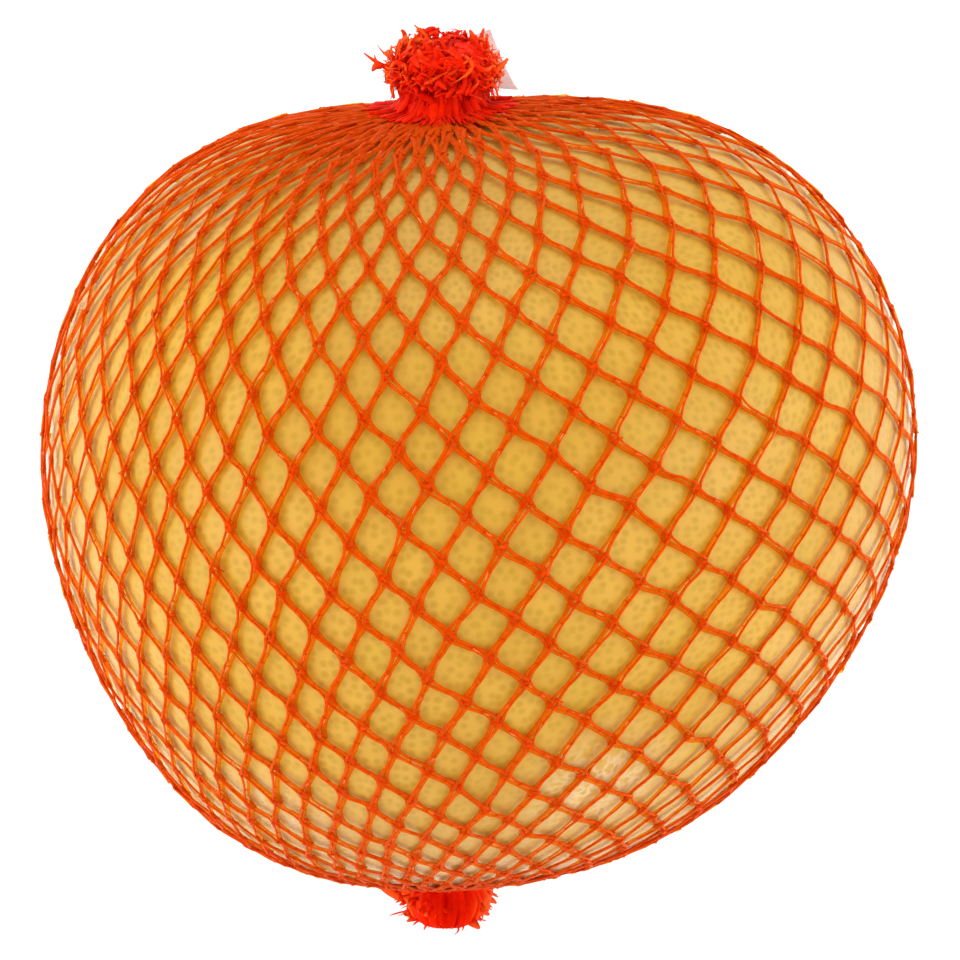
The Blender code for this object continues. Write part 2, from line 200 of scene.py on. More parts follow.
# Three places in millimetres (right, back, up from the net's end), then width and tone.
TOP_STRAYS = [
    ((-6.0, -1.0, 6.4), (-9.8, -1.0, 7.6), (-13.4, -0.6, 9.9), 0.9, 0.4),
    ((-9.8, -1.0, 7.6), (-11.0, -1.2, 8.2), (-11.6, -1.0, 9.7), 0.6, 0.4),
    ((-10.2, -1.2, 7.6), (-11.2, -1.2, 7.8), (-12.0, -1.0, 6.8), 1.3, 0.4),
    ((-1.6, -1.0, 9.0), (-2.4, -1.0, 12.2), (-4.8, -1.0, 14.8), 0.8, 0.5),
    ((-1.5, -1.5, 10.6), (-4.2, -1.6, 12.2), (-7.2, -1.5, 11.0), 1.2, 0.8),
    ((-2.0, -1.4, 9.8), (-4.6, -1.4, 10.2), (-7.2, -1.3, 10.8), 1.0, 0.6),
    ((2.2, -1.0, 11.2), (0.6, -1.0, 12.8), (-1.3, -1.0, 14.2), 0.4, -0.9),
    ((1.4, -1.2, 11.8), (2.9, -1.2, 13.7), (0.6, -1.2, 14.1), 0.25, 0.2),
    ((5.8, -1.0, 10.2), (5.4, -1.0, 12.2), (4.7, -1.0, 14.0), 1.3, 0.4),
    ((3.4, -7.6, 10.8), (5.0, -8.8, 8.6), (1.6, -9.2, 6.0), 0.7, 0.6),
    ((-0.6, -8.2, 6.4), (2.0, -9.0, 8.2), (5.0, -7.8, 10.2), 0.8, 0.5),
    ((-3.4, -8.4, 4.8), (-1.8, -9.2, 6.6), (1.4, -8.8, 8.2), 0.7, 0.55),
    ((-6.6, -3.5, 9.8), (-3.6, -6.2, 10.0), (-0.8, -7.4, 8.8), 1.0, 0.3),
    ((7.6, -3.0, 8.2), (9.0, -3.0, 7.2), (10.0, -2.4, 5.8), 0.8, 0.4),
]
# Count, lengths, widths and root heights of each set of foot fibres, and where they stand.
FOOT_FIBRE_SETS = [
    (80, (1.4 * MM, 3.0 * MM), (0.9 * MM, 2.0 * MM), (0.6 * MM, 4.2 * MM)),
    (90, (1.2 * MM, 2.8 * MM), (0.2 * MM, 0.45 * MM), (0.5 * MM, 4.4 * MM)),
]
FOOT_FRONT = (0.6 * MM, -7.0 * MM, 0.0)
FOOT_REACH = (4.8 * MM, 2.9 * MM)
FOOT_LOWEST = 0.3 * MM
FLOOR_GAP = 0.05 * MM
# Three places in millimetres (right, back, up from the floor), then width and tone.
FOOT_STRAYS = [
    ((-12.5, -2.0, 6.8), (-9.6, -2.4, 4.0), (-6.4, -2.8, 1.8), 1.9, 0.75),
    ((-11.0, -1.0, 5.6), (-8.6, -1.4, 4.2), (-6.0, -2.0, 3.4), 2.2, 0.5),
    ((-6.0, -4.0, 0.8), (-8.2, -4.8, 0.5), (-9.6, -5.6, 0.3), 0.3, 0.3),
    ((-2.4, -9.0, 0.8), (-2.9, -11.0, 0.6), (-3.4, -13.6, 0.4), 0.6, 0.5),
    ((2.0, -11.0, 0.8), (2.7, -13.5, 0.5), (2.0, -15.8, 0.3), 0.35, 0.1),
    ((2.9, -10.0, 0.8), (3.5, -12.0, 0.6), (3.3, -13.8, 0.3), 0.4, 0.2),
    ((3.6, -7.4, 1.0), (5.0, -10.0, 0.7), (6.4, -12.8, 0.4), 1.9, 0.6),
    ((5.4, -5.0, 1.0), (6.9, -6.0, 0.6), (6.4, -9.4, 0.4), 0.3, 0.1),
    ((6.4, -3.6, 1.8), (7.6, -4.0, 1.3), (8.6, -4.4, 1.0), 0.4, 0.3),
    ((6.6, -2.6, 2.8), (8.2, -2.8, 2.4), (9.4, -3.0, 1.7), 1.2, 0.5),
    ((7.0, -1.6, 4.6), (8.8, -1.6, 4.6), (10.2, -1.6, 4.4), 1.0, 0.6),
]
# Fibres drawn in to each neck: count, inner and outer radius, climb, and 1 for up or -1 for down.
TOP_NECK = (420, 6.7 * MM, 11.4 * MM, 4.6 * MM, 1.0)
FOOT_NECK = (160, 7.2 * MM, 12.0 * MM, 2.6 * MM, -1.0)

# Ties: how often each is wound, its steps for a turn, and its width and thickness.
TIE_TURNS = 3
TIE_STEPS = 40
TIE_WIDTH = 0.9 * MM
TIE_THICK = 0.5 * MM
# The radius of each tie, and the heights it is wound between, from the net's end or the floor.
TOP_TIE = (7.1 * MM, 3.9 * MM, 4.9 * MM)
FOOT_TIE = (7.3 * MM, 4.6 * MM, 5.7 * MM)

# The strip: where its arc starts and leaves the neck, its radius, heights, widths and end.
STRIP_START = 190.0
STRIP_LEAVE = 75.0
STRIP_ARC_SHARE = 0.6
STRIP_RADIUS = 8.7 * MM
STRIP_LOW = 2.6 * MM
STRIP_WIDTH = (2.0 * MM, 10.4 * MM)
STRIP_END_LOW = 13.1 * MM
STRIP_END_HIGH = 8.2 * MM
STRIP_WALL = 0.12 * MM
STRIP_STEPS = (60, 12)
STRIP_CREAM = (0.94, 0.79, 0.70)
STRIP_LILAC = (0.62, 0.29, 0.35)


def outline_radius(turn):
    """Mean radius plus six harmonics of the angle, counted from +X towards +Z."""
    total = MEAN_RADIUS + 0.0 * turn
    for order, (right, up) in enumerate(zip(SWELL_RIGHT, SWELL_UP), start=1):
        total = total + right * np.cos(order * turn) + up * np.sin(order * turn)
    return total


FOOT_HEIGHT = 7.6 * MM
CENTRE = np.array([0.0, 0.0, FOOT_HEIGHT + float(outline_radius(np.array(-math.pi / 2)))])
TOP_END = CENTRE[2] + float(outline_radius(np.array(math.pi / 2)))


def skin(directions, depth):
    """Points at a depth under the net's crests, along unit directions from the centre.

    The front outline and the half depth are joined as the two radii of an ellipse.
    """
    x, y, z = np.moveaxis(directions, -1, 0)
    across = np.hypot(x, z) / outline_radius(np.arctan2(z, x))
    away = y / (HALF_DEPTH * (1 - DEPTH_LEAN * x))
    reach = 1 / np.hypot(across, away) - depth
    return directions * reach[..., None] + CENTRE


def unit(vectors):
    """The same vectors, each with a length of one."""
    return vectors / np.linalg.norm(vectors, axis=-1, keepdims=True)


def sphere_directions(colatitude, longitude):
    """Unit vectors from angles in degrees; longitude runs from the front, -Y, towards +X."""
    down = np.radians(colatitude)
    turn = np.radians(longitude)
    flat = np.sin(down)
    return np.stack([flat * np.sin(turn), -flat * np.cos(turn), np.cos(down)], axis=-1)


class Wire:
    """A socket's value in a material; sums and products on it add the Math nodes for them."""

    def __init__(self, finish, socket):
        self.finish = finish
        self.socket = socket

    def math(self, operation, *others):
        """A Math node of that operation, with this value in its first socket."""
        values = {place: value for place, value in enumerate((self, *others))}
        return self.finish.add("ShaderNodeMath", {"operation": operation}, values)

    def __add__(self, other):
        return self.math("ADD", other)

    def __sub__(self, other):
        return self.math("SUBTRACT", other)

    def __mul__(self, other):
        return self.math("MULTIPLY", other)

    def __pow__(self, other):
        return self.math("POWER", other)

    def __rsub__(self, other):
        return self.finish.add("ShaderNodeMath", {"operation": "SUBTRACT"}, {0: other, 1: self})

    __radd__ = __add__
    __rmul__ = __mul__

    def beside(self, output):
        """Another output of the same node."""
        return Wire(self.finish, self.socket.node.outputs[output])

    def step(self, low, high):
        """0 below low and 1 above high, with a smooth rise between them."""
        settings = {"interpolation_type": "SMOOTHSTEP"}
        return self.finish.add("ShaderNodeMapRange", settings, {0: self, 1: low, 2: high})


class Finish:
    """A material in the making: an empty node tree and the one method that fills it."""

    def __init__(self, name):
        self.material = bpy.data.materials.new(name)
        self.material.use_nodes = True
        self.tree = self.material.node_tree
        self.tree.nodes.clear()

    def add(self, kind, settings=None, inputs=None, output=0):
        """A node of that kind: its settings first, then its sockets' values or links."""
        node = self.tree.nodes.new(kind)
        for name, value in (settings or {}).items():
            setattr(node, name, value)
        for name, value in (inputs or {}).items():
            if isinstance(value, Wire):
                self.tree.links.new(value.socket, node.inputs[name])
            else:
                node.inputs[name].default_value = value
        return None if output is None else Wire(self, node.outputs[output])

    def place(self):
        """The object's own coordinates, in metres."""
        return self.add("ShaderNodeTexCoord", output=3)

    def sheet_place(self):
        """The piece's own flat places."""
        return self.add("ShaderNodeTexCoord", output=2)

    def noise(self, where, size, detail=2.0, rough=0.5):
        """Noise from 0 to 1 whose blotches are about that size, in metres."""
        inputs = {"Vector": where, "Scale": 1 / size, "Detail": detail, "Roughness": rough}
        return self.add("ShaderNodeTexNoise", None, inputs)

    def edge_on(self):
        """0 where the surface faces the viewer, 1 where it is seen edge on."""
        return self.add("ShaderNodeLayerWeight", None, {"Blend": 0.5}, output=1)

    def tone(self, name):
        """The number that the piece keeps at each point under that name."""
        return self.add("ShaderNodeAttribute", {"attribute_name": name}, output=2)

    def blend(self, share, first, second):
        """The first colour, with the second laid over it by a share from 0 to 1."""
        settings = {"data_type": "RGBA", "blend_type": "MIX"}
        colours = {6: as_colour(first), 7: as_colour(second), 0: share}
        return self.add("ShaderNodeMix", settings, colours, output=2)

    def mixed(self, share, first, second):
        """The first shader, with the second taking that share of it."""
        return self.add("ShaderNodeMixShader", None, {0: share, 1: first, 2: second})

    def bump(self, height, distance, strength):
        """Relief for a shader's Normal socket."""
        inputs = {"Height": height, "Distance": distance, "Strength": strength}
        return self.add("ShaderNodeBump", None, inputs)

    def done(self, shader):
        """The finished material, with that shader as its surface."""
        self.add("ShaderNodeOutputMaterial", None, {"Surface": shader}, output=None)
        return self.material


def as_colour(value):
    """A colour with its alpha, or the wire that carries one."""
    return value if isinstance(value, Wire) else (*value, 1.0)


def rind_finish():
    """Golden rind with evenly spaced oil glands, greener and warmer patches, and a painted sheen edge
    on.
    """
    made = Finish("rind")
    place = made.place()
    sheet = made.sheet_place()
    gland_inputs = {"Vector": sheet, "Scale": 1 / GLAND_SPACING, "Randomness": 0.78}
    settings = {"voronoi_dimensions": "2D", "feature": "F1"}
    away = made.add("ShaderNodeTexVoronoi", settings, gland_inputs)
    depth = made.add("ShaderNodeSeparateColor", None, {0: away.beside(1)})
    gland = (1 - away.step(0.1, 0.56)) * (0.55 + 0.45 * depth)
    broad = made.noise(place, 26 * MM, 2.0, 0.55)
    patch = made.noise(place, 9 * MM, 2.0, 0.6)
    base = made.blend(broad.step(0.35, 0.68), RIND_GOLD, RIND_AMBER)
    base = made.blend(patch.step(0.52, 0.74) * 0.5, base, RIND_GREENISH)
    base = made.blend(gland * 0.9, base, GLAND_COLOUR)
    # Painted sheen: the rind is paled towards cream where it is seen edge on.
    base = made.blend(made.edge_on() ** 2.4 * 0.7, base, RIND_PAINTED_SHEEN)
    inputs = {
        "Base Color": base,
        "Roughness": 0.42 + 0.2 * broad,
        "Specular IOR Level": 0.4,
    }
    return made.done(made.add("ShaderNodeBsdfPrincipled", None, inputs))


def film_finish():
    """Clear film: see-through, a mirror where seen edge on, and milky where crumpled, partly painted
    glare.
    """
    made = Finish("film")
    creases = made.noise(made.place(), CREASE_SIZE, 1.0, 0.6)
    ridge = 1 - (creases - 0.5).math("ABSOLUTE") * 7.0
    crumple = made.tone("crumple")
    relief = made.bump(ridge, 0.2 * MM, 0.35)
    glare = (0.42 * made.edge_on() ** 4.0 - 0.008).math("MAXIMUM", 0.0)
    clear = made.add("ShaderNodeBsdfTransparent", None, {0: (1.0, 1.0, 1.0, 1.0)})
    gloss_inputs = {"Color": (1.0, 1.0, 1.0, 1.0), "Roughness": 0.2, "Normal": relief}
    gloss = made.add("ShaderNodeBsdfAnisotropic", None, gloss_inputs)
    milk_inputs = {"Base Color": MILK_AND_GLARE_COLOUR, "Roughness": 0.3, "Normal": relief}
    milk = made.add("ShaderNodeBsdfPrincipled", None, milk_inputs)
    surface = made.mixed(glare, clear, gloss)
    # Where crumpled the film is laid over with milky white: partly its own whitening, partly painted
    # glare.
    return made.done(made.mixed(crumple * (0.06 + 0.3 * ridge.step(0.0, 1.0)), surface, milk))


def cord_finish(name, colour, deep, pale, clear_share):
    """Shiny drawn plastic ribbon: darker where stitched, painted glints and rim light, light through
    it.
    """
    made = Finish(name)
    tone = made.tone("tone")
    streaks = made.noise(made.place(), 1.1 * MM, 0.0)
    # Painted rim light: the ribbon goes towards this lighter colour where it is seen edge on.
    rim = [min(1.0, 1.3 * colour[0]), 1.9 * colour[1], 0.012]
    base = made.blend(streaks.step(0.35, 0.7), colour, [0.88 * part for part in colour])
    base = made.blend((0.0 - tone).step(0.0, 1.0), base, deep)
    base = made.blend(made.edge_on() ** 2.0 * 0.8, base, rim)
    # Tones above zero lay on painted light: glints on the net, lit parts on the tufts.
    base = made.blend(tone.step(0.0, 1.0), base, pale)
    inputs = {
        "Base Color": base,
        "Roughness": 0.42,
        "Specular IOR Level": 0.14,
        "Specular Tint": (1.0, 0.3, 0.05, 1.0),
        "IOR": 1.3,
    }
    solid = made.add("ShaderNodeBsdfPrincipled", None, inputs)
    through = made.add("ShaderNodeBsdfTransparent", None, {0: CORD_THROUGH})
    return made.done(made.mixed(clear_share + INNER_CLEARER * made.tone("clear"), solid, through))


def strip_finish():
    """Milky film, half see-through, with a lilac cast near its upper corner."""
    made = Finish("strip")
    cloud = made.noise(made.place(), 3 * MM, 2.0)
    corner = made.tone("tone")
    base = made.blend(corner.step(0.7, 1.0), STRIP_CREAM, STRIP_LILAC)
    inputs = {"Base Color": base, "Roughness": 0.25, "Normal": made.bump(cloud, 0.2 * MM, 0.3)}
    milky = made.add("ShaderNodeBsdfPrincipled", None, inputs)
    clear = made.add("ShaderNodeBsdfTransparent", None, {0: (0.98, 0.93, 0.92, 1.0)})
    return made.done(made.mixed(0.4 + 0.2 * cloud, clear, milky))


def new_piece(name, points, faces, material, nodes=()):
    """A named piece at the origin from arrays of points and faces, riding on the one body."""
    mesh = bpy.data.meshes.new(name)
    mesh.from_pydata(points.reshape(-1, 3), [], faces)
    mesh.shade_smooth()
    mesh.materials.append(material)
    piece = bpy.data.objects.new(name, mesh)
    bpy.context.scene.collection.objects.link(piece)
    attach(piece, "root")
    if nodes:
        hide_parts(*nodes)
    return piece


def point_values(piece, name, values):
    """A number at each point of the piece, which its material reads by that name."""
    layer = piece.data.attributes.new(name, "FLOAT", "POINT")
    layer.data.foreach_set("value", np.ascontiguousarray(values, np.float32).ravel())


def cube_grid(cells):
    """Directions of a cube blown up to a sphere, its faces, and a flat place for each corner.

    Each side of the cube is a grid of equal angles from -45 to 45 degrees; sides share no
    points in the flat places, and the doubled points along the cube's edges are merged.
    """
    angle = np.linspace(-math.pi / 4, math.pi / 4, cells + 1)
    across, up = np.meshgrid(angle, angle, indexing="ij")
    flat = np.stack([np.tan(across), np.tan(up), np.ones_like(up)], axis=-1)
    sides = ((0, 1, 2), (1, 2, 0), (2, 0, 1))
    directions = []
    places = []
    for axes in sides:
        for sign in (1.0, -1.0):
            side = np.empty_like(flat)
            side[..., axes[0]] = flat[..., 0] * sign
            side[..., axes[1]] = flat[..., 1]
            side[..., axes[2]] = flat[..., 2] * sign
            directions.append(unit(side))
            places.append(np.stack([across, up], axis=-1) * MEAN_RADIUS + len(places) * 0.31)
    directions = np.array(directions).reshape(-1, 3)
    places = np.array(places).reshape(-1, 2)
    row, column, side = np.meshgrid(np.arange(cells), np.arange(cells), np.arange(6), indexing="ij")
    first = (side * (cells + 1) + row) * (cells + 1) + column
    quads = np.stack([first, first + cells + 1, first + cells + 2, first + 1], axis=-1).reshape(-1, 4)
    keys = np.round(directions * 1e6).astype(np.int64)
    _, kept, merged = np.unique(keys, axis=0, return_index=True, return_inverse=True)
    return directions[kept], merged.reshape(-1)[quads], places[quads]


def soft_lumps(directions, size, count, rng):
    """A smooth random height: a sum of cosine waves in random directions, about -1 to 1."""
    axes = unit(rng.normal(size=(count, 3)))
    phases = rng.uniform(0, 2 * math.pi, count)
    steps = directions @ axes.T * (2 * math.pi * MEAN_RADIUS / size) + phases
    return np.cos(steps).sum(axis=1) / math.sqrt(count / 2) / 2


def make_fruit():
    """The rind: the skin surface with slow swells and a shallow orange-peel unevenness."""
    rng = np.random.default_rng(SEED)
    directions, quads, places = cube_grid(RIND_CELLS)
    swell = 0.16 * MM * soft_lumps(directions, 19 * MM, 24, rng)
    swell = swell + 0.05 * MM * soft_lumps(directions, 6 * MM, 32, rng)
    points = skin(directions, RIND_DEPTH) + directions * swell[:, None]
    fruit = new_piece("fruit_rind", points, quads, rind_finish(), ["pomelo_fruit"])
    layer = fruit.data.uv_layers.new(name="peel")
    layer.uv.foreach_set("vector", places.astype(np.float32).ravel())


def spot_share(points, spots):
    """How near each point is to the named spots, from 0 to 1, falling off like a bell."""
    share = np.zeros(len(points))
    for place, size, strength in spots:
        gap = np.linalg.norm(points - np.array(place), axis=1)
        share = np.maximum(share, strength * np.exp(-((gap / size) ** 2)))
    return share


def make_film():
    """The shrink film: the skin surface, drawn into shallow pleats near its lower end and at a few
    spots.
    """
    rng = np.random.default_rng(SEED + 1)
    directions, quads, _ = cube_grid(FILM_CELLS)
    points = skin(directions, FILM_DEPTH)
    height = directions[:, 2]
    ends = np.clip((-height - 0.72) / 0.28, 0, 1)
    turn = np.arctan2(directions[:, 1], directions[:, 0])
    pleats = np.cos(turn * 23 + 5 * height) * np.cos(turn * 9 + 2)
    spots = spot_share(points, [(front_place(*at), size, much) for at, size, much in CRUMPLE_AND_GLARE_SPOTS])
    crumple = np.clip(np.maximum(1.5 * ends, 0.75 * spots) - 0.05, 0, 1.6)
    rise = 0.12 * MM * crumple * (pleats + soft_lumps(directions, 5 * MM, 40, rng))
    points = points + directions * rise[:, None]
    film = new_piece("shrink_film", points, quads, film_finish(), ["film_wrap"])
    point_values(film, "crumple", crumple)
    film.visible_shadow = False
    film.visible_diffuse = False


def front_place(right, up):
    """The point of the skin that is seen that far right of and above the centre, in metres."""
    start = np.array([right, 0.0, 0.0]) + np.array(PICTURE_UP) * up
    steps = np.linspace(0.1, -0.1, 400)
    line = start + np.array(VIEW) * steps[:, None]
    reach = np.linalg.norm(skin(unit(line), FILM_DEPTH) - CENTRE, axis=1)
    inside = np.linalg.norm(line, axis=1) < reach
    hit = line[np.nonzero(inside)[0][-1]]
    return skin(unit(hit), FILM_DEPTH)


def lattice_angles(row, column):
    """Colatitude and longitude, in degrees, of a place in the net's lattice.

    Both are short sums of powers of the row and of the first two harmonics of the turn. Rows
    that would pass a gather crowd together in front of it instead.
    """
    along = (row - MIDDLE_ROW) / HALF_ROWS
    turn = column * math.pi / MESHES_ROUND
    around = np.cos(turn)
    beside = np.sin(turn)
    down = sum(step * along**power for power, step in enumerate(ROW_SPACING))
    down = down + (ROW_TILT_BACK[0] + ROW_TILT_BACK[1] * along) * around
    down = down + (ROW_TILT_LEFT[0] + ROW_TILT_LEFT[1] * along) * beside
    down = down + ROW_WAVE[0] * np.cos(2 * turn) + ROW_WAVE[1] * np.sin(2 * turn)
    wide = np.degrees(turn) + sum(step * along**power for power, step in enumerate(TWIST))
    wide = wide + (SPREAD_BACK[0] + SPREAD_BACK[1] * along) * around
    wide = wide + (SPREAD_LEFT[0] + SPREAD_LEFT[1] * along) * beside
    wide = wide + SPREAD_WAVE[0] * np.cos(2 * turn) + SPREAD_WAVE[1] * np.sin(2 * turn)
    return down, wide


def crowded(down):
    """Colatitudes kept between the two gathers, bending towards them softly."""
    low = np.logaddexp(0, (down - GATHER_TOP) / GATHER_SOFTNESS) * GATHER_SOFTNESS + GATHER_TOP
    return GATHER_FOOT - np.logaddexp(0, (GATHER_FOOT - low) / GATHER_SOFTNESS) * GATHER_SOFTNESS


def strands_of_net():
    """Rows and columns along each strand: from every knot, one strand down each way."""
    rows, columns = np.meshgrid(
        np.arange(FIRST_ROW, LAST_ROW), np.arange(2 * MESHES_ROUND), indexing="ij"
    )
    real = (rows + columns) % 2 == 1
    rows = np.repeat(rows[real], 2)
    columns = np.repeat(columns[real], 2)
    side = np.tile([1, -1], len(rows) // 2)
    share = np.linspace(0, 1, STATIONS)
    bowed = share + STRAND_BOW * np.sin(2 * math.pi * share) / (2 * math.pi)
    return rows[:, None] + share, columns[:, None] + side[:, None] * bowed, side


def knot_shift(rows, columns, rng):
    """A small seeded shift of each knot, in lattice steps, faded along the strands between."""
    width = 2 * MESHES_ROUND
    table = rng.normal(0, 0.055, (LAST_ROW - FIRST_ROW + 2, width, 2))
    top = np.round(rows[:, 0]).astype(int) - FIRST_ROW
    first = table[top, np.round(columns[:, 0]).astype(int) % width]
    last = table[top + 1, np.round(columns[:, -1]).astype(int) % width]
    share = np.linspace(0, 1, STATIONS)[None, :, None]
    ease = share * share * (3 - 2 * share)
    return first[:, None] * (1 - ease) + last[:, None] * ease


def swept(lines, sides, rises, widths, thicks, section):
    """Flat ribbons along many lines at once, each closed at both ends.

    Every point of a line gives one section: its corners are shares of half a width along the
    side, and of half a thickness along the rise.
    """
    across = (sides * widths[..., None] / 2)[:, :, None]
    above = (rises * thicks[..., None] / 2)[:, :, None]
    corners = np.array(section)
    points = lines[:, :, None] + across * corners[:, :1] + above * corners[:, 1:]
    count, stations = lines.shape[:2]
    sides_round = len(section)
    ribbon, station, corner = np.meshgrid(
        np.arange(count), np.arange(stations - 1), np.arange(sides_round), indexing="ij"
    )
    base = (ribbon * stations + station) * sides_round
    after = (corner + 1) % sides_round
    near = base + corner
    wall = np.stack([near, base + after, base + sides_round + after, near + sides_round], axis=-1)
    start = (np.arange(count) * stations * sides_round)[:, None]
    first = start + np.arange(sides_round)[::-1]
    last = start + (stations - 1) * sides_round + np.arange(sides_round)
    return points, [*wall.reshape(-1, 4).tolist(), *first.tolist(), *last.tolist()]


def net_lines():
    """The middle line of each strand, its sideways and outward directions, and its numbers."""
    rng = np.random.default_rng(SEED + 2)
    rows, columns, side = strands_of_net()
    shift = knot_shift(rows, columns, rng)
    down, wide = lattice_angles(rows + shift[..., 0], columns + shift[..., 1])
    kept = (down.max(axis=1) > GATHER_TOP - 9) & (down.min(axis=1) < GATHER_FOOT + 9)
    kept = np.repeat(kept.reshape(-1, 2).all(axis=1), 2)
    down, wide, side, rows = down[kept], wide[kept], side[kept], rows[kept]
    rise = sphere_directions(crowded(down), wide)
    share = np.linspace(0, 1, STATIONS)
    lift = LAYER_STEP * np.cos(math.pi * (share[None] + rows[:, :1])) * side[:, None]
    near_top = np.exp(-((np.maximum(down - GATHER_TOP, 0) / PILE_REACH) ** 2))
    near_foot = np.exp(-((np.maximum(GATHER_FOOT - down, 0) / PILE_REACH) ** 2))
    piled = near_top + 0.5 * near_foot
    lift = lift + PILE_HEIGHT * piled * rng.uniform(0.0, 1.0, (len(down), 1))
    middle = skin(rise, CORD_DEPTH) + rise * lift[..., None]
    beside = unit(np.cross(unit(np.gradient(middle, axis=1)), rise))
    return middle, beside, rise, piled, share, rng


def make_ribbons(middle, beside, rise, piled, share, rng, material):
    """Two flat ribbons for each strand: apart at its knots, and overlapping half way."""
    near_knot = np.abs(2 * share - 1) ** 2.2
    count = len(middle)
    for leg in (-1.0, 1.0):
        parted = LEG_GAP_MIDDLE + (LEG_GAP_KNOT - LEG_GAP_MIDDLE) * near_knot
        parted = parted * rng.uniform(0.75, 1.25, (count, 1))
        wander = rng.normal(0, 0.05 * MM, (count, STATIONS))
        layer = 0.1 * MM * leg * rng.choice([-1.0, 1.0], (count, 1))
        lines = middle + beside * (leg * parted + wander)[..., None] + rise * layer[..., None]
        widths = RIBBON_WIDTH * rng.uniform(0.8, 1.2, (count, 1))
        widths = widths * (0.9 + 0.25 * near_knot + 0.45 * piled)
        inwards = np.clip(-leg * beside[..., 0] * middle[..., 0] / (25 * MM), -1, 1)
        widths = widths * (1 + INNER_WIDER * inwards)
        roll = rng.normal(0, 0.3, (count, 1)) + 0.2 * leg * near_knot
        turned_side, turned_rise = rolled(beside, rise, roll)
        thicks = np.full(widths.shape, RIBBON_THICK)
        # About the stitch the tone drops: deeper red, partly the doubled yarn and partly painted shade
        # in its crease; random tones above zero are small painted glints.
        stitched = np.exp(-(((share - 0.5) / 0.06) ** 2))
        tone = -0.35 * stitched + rng.normal(0, 0.09, (count, STATIONS))
        name = "net_ribbons_left" if leg < 0 else "net_ribbons_right"
        for half, kept in (("front", middle[:, 0, 1] < 0), ("back", middle[:, 0, 1] >= 0)):
            course = (lines[kept], turned_side[kept], turned_rise[kept])
            points, faces = swept(*course, widths[kept], thicks[kept], FLAT_SECTION)
            nodes = ["net_sleeve"] if leg < 0 and half == "front" else []
            piece = new_piece(f"{name}_{half}", points, faces, material, nodes)
            for layer_name, values in (("tone", tone), ("clear", inwards)):
                corners = np.repeat(values[kept][..., None], len(FLAT_SECTION), axis=2)
                point_values(piece, layer_name, corners)


def joined_piece(name, sets, material, nodes=()):
    """One piece from several sets of ribbons or bars, each with the tones of its points."""
    points = []
    faces = []
    offset = 0
    for (places, walls), _ in sets:
        flat = places.reshape(-1, 3)
        points.append(flat)
        faces.extend([[corner + offset for corner in wall] for wall in walls])
        offset += len(flat)
    piece = new_piece(name, np.concatenate(points), faces, material, nodes)
    point_values(piece, "tone", np.concatenate([tones for _, tones in sets]))
    return piece


def rolled(beside, rise, roll):
    """The sideways and outward directions, both turned about the line by an angle."""
    cosine = np.cos(roll)[..., None]
    sine = np.sin(roll)[..., None]
    return beside * cosine + rise * sine, rise * cosine - beside * sine


def short_bars(middles, along, rise, lengths, widths, thicks, bend):
    """Short arched bars: three sections along a direction, the ends bent down and narrowed."""
    reach = np.array([-0.5, 0.0, 0.5])
    lines = middles[:, None] + along[:, None] * (lengths[:, None] * reach)[..., None]
    lines = lines - rise[:, None] * (bend[:, None] * np.abs(2 * reach))[..., None]
    beside = unit(np.cross(along, rise))
    sides = np.repeat(beside[:, None], 3, axis=1)
    rises = np.repeat(rise[:, None], 3, axis=1)
    taper = np.array([0.55, 1.0, 0.55])
    return swept(lines, sides, rises, widths[:, None] * taper, thicks[:, None] * taper, BAR_SECTION)


def make_knots(middle, beside, rise, rng, material):
    """At each knot, flat bars laid over each other: one along either strand, and one across."""
    travel = unit(middle[:, 2] - middle[:, 0])
    outward = rise[:, 0]
    count = len(middle)
    turn = rng.normal(0, 0.3, (count, 1))
    along = travel * np.cos(turn) + beside[:, 0] * np.sin(turn)
    downward = unit(travel[0::2] + travel[1::2])
    skew = 0.25 * rng.normal(size=(count // 2, 1))
    across = unit(np.cross(outward[::2], downward) + skew * downward)
    drift = rng.normal(0, 0.26 * MM, (count, 1)) * beside[:, 0]
    drift = drift + rng.normal(0, 0.2 * MM, (count, 1)) * travel
    height = rng.uniform(0.10, 0.26, (count, 1)) * MM
    sets = []
    upper = outward[::2]
    for places, way, up, reach in (
        (middle[:, 0] + drift + outward * height, along, outward, KNOT_BAR_LENGTH),
        (middle[::2, 0] - drift[::2] + upper * 0.3 * MM, across, upper, KNOT_CROSS_LENGTH),
    ):
        number = len(places)
        lengths = rng.uniform(*reach, number)
        widths = rng.uniform(*KNOT_BAR_WIDTH, number)
        bend = rng.uniform(0.15, 0.3, number) * MM
        bars = short_bars(places, way, up, lengths, widths, np.full(number, RIBBON_THICK), bend)
        # Knot tones lie mostly below zero: deeper red, partly the doubled tape and partly painted
        # shade; the few above zero are painted glints.
        sets.append((bars, np.repeat(rng.uniform(-0.55, 0.15, number), 3 * len(BAR_SECTION))))
    knots = joined_piece("net_knots", sets, material)
    knots.visible_shadow = False


